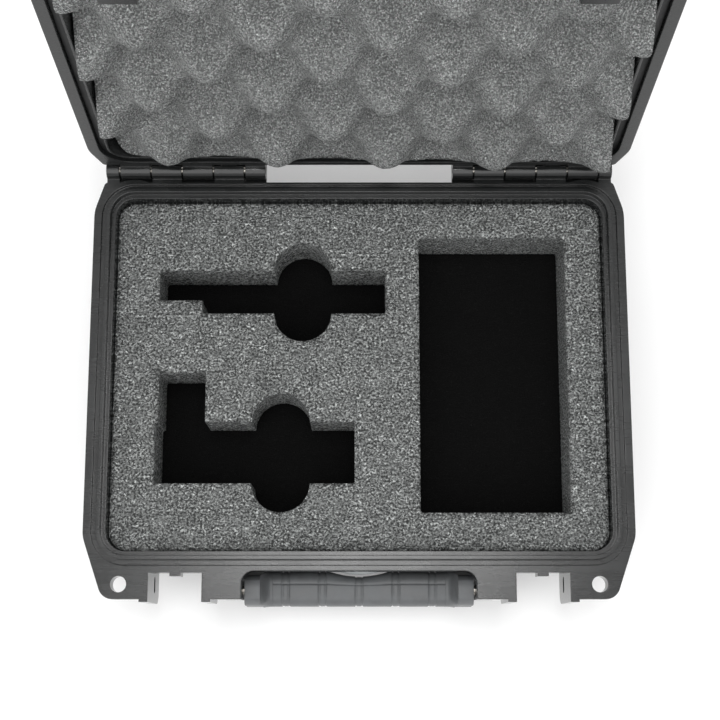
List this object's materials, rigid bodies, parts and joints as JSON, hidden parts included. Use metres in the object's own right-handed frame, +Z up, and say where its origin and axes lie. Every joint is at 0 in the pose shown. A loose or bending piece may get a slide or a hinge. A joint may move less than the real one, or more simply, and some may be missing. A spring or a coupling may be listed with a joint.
{
  "type": "microphone case",
  "caption": "Sealed hard case with a hinged lid, trigger latches, a folding padded handle and cut foam for a wireless microphone set.",
  "frame": {"origin": "centre of the rest face under the base", "axes": "+X to the right, +Y to the hinge at the back, +Z up"},
  "size_m": [0.244, 0.2606, 0.2618],
  "materials": {
    "case_plastic": "satin moulded polypropylene",
    "latch_plastic": "satin moulded plastic",
    "grey_foam": "open-cell foam",
    "lid_foam_grey": "open-cell foam with waves",
    "black_foam": "soft foam",
    "seal_rubber": "matt",
    "grip_rubber": "soft matt overmould",
    "steel": "stainless pin",
    "spring_steel": "bright wire",
    "membrane": "vent film"
  },
  "bodies": {
    "base": {"base_shell": "case_plastic", "base_foam": "grey_foam", "base_foam_pad": "black_foam", "catch_bar_left": "steel", "catch_bar_right": "steel", "hinge_pin_left": "steel", "hinge_pin_right": "steel", "handle_pin_left": "steel", "handle_pin_right": "steel", "valve_body": "case_plastic", "valve_membrane": "membrane", "valve_seal": "seal_rubber"},
    "lid": {"lid_shell": "case_plastic", "lid_foam": "lid_foam_grey", "gasket": "seal_rubber", "latch_pin_left": "steel", "latch_pin_right": "steel"},
    "latch_left": {"latch_left": "latch_plastic", "trigger_pin_left": "steel", "trigger_spring_left": "spring_steel"},
    "trigger_left": {"trigger_left": "latch_plastic"},
    "latch_right": {"latch_right": "latch_plastic", "trigger_pin_right": "steel", "trigger_spring_right": "spring_steel"},
    "trigger_right": {"trigger_right": "latch_plastic"},
    "handle": {"handle_core": "latch_plastic", "handle_grip": "grip_rubber"}
  },
  "joints": [
    {"name": "lid_hinge", "type": "hinge", "parent": "base", "child": "lid", "pos_m": [0, 0.094, 0.059], "axis": [1, 0, 0], "range_deg": [0, 98]},
    {"name": "latch_left_pivot", "type": "hinge", "parent": "lid", "child": "latch_left", "pos_m": [-0.0808, 0.13931, 0.2449], "axis": [-1, 0, 0], "range_deg": [0, 110]},
    {"name": "trigger_left_pivot", "type": "hinge", "parent": "latch_left", "child": "trigger_left", "pos_m": [-0.0808, 0.11514, 0.25254], "axis": [-1, 0, 0], "range_deg": [0, 20], "stiffness_Nm_per_rad": 0.02, "springref_deg": -20.05},
    {"name": "latch_right_pivot", "type": "hinge", "parent": "lid", "child": "latch_right", "pos_m": [0.0808, 0.13931, 0.2449], "axis": [-1, 0, 0], "range_deg": [0, 110]},
    {"name": "trigger_right_pivot", "type": "hinge", "parent": "latch_right", "child": "trigger_right", "pos_m": [0.0808, 0.11514, 0.25254], "axis": [-1, 0, 0], "range_deg": [0, 20], "stiffness_Nm_per_rad": 0.02, "springref_deg": -20.05},
    {"name": "handle_pivot", "type": "hinge", "parent": "base", "child": "handle", "pos_m": [0, -0.0974, 0.041], "axis": [-1, 0, 0], "range_deg": [0, 100]}
  ]
}
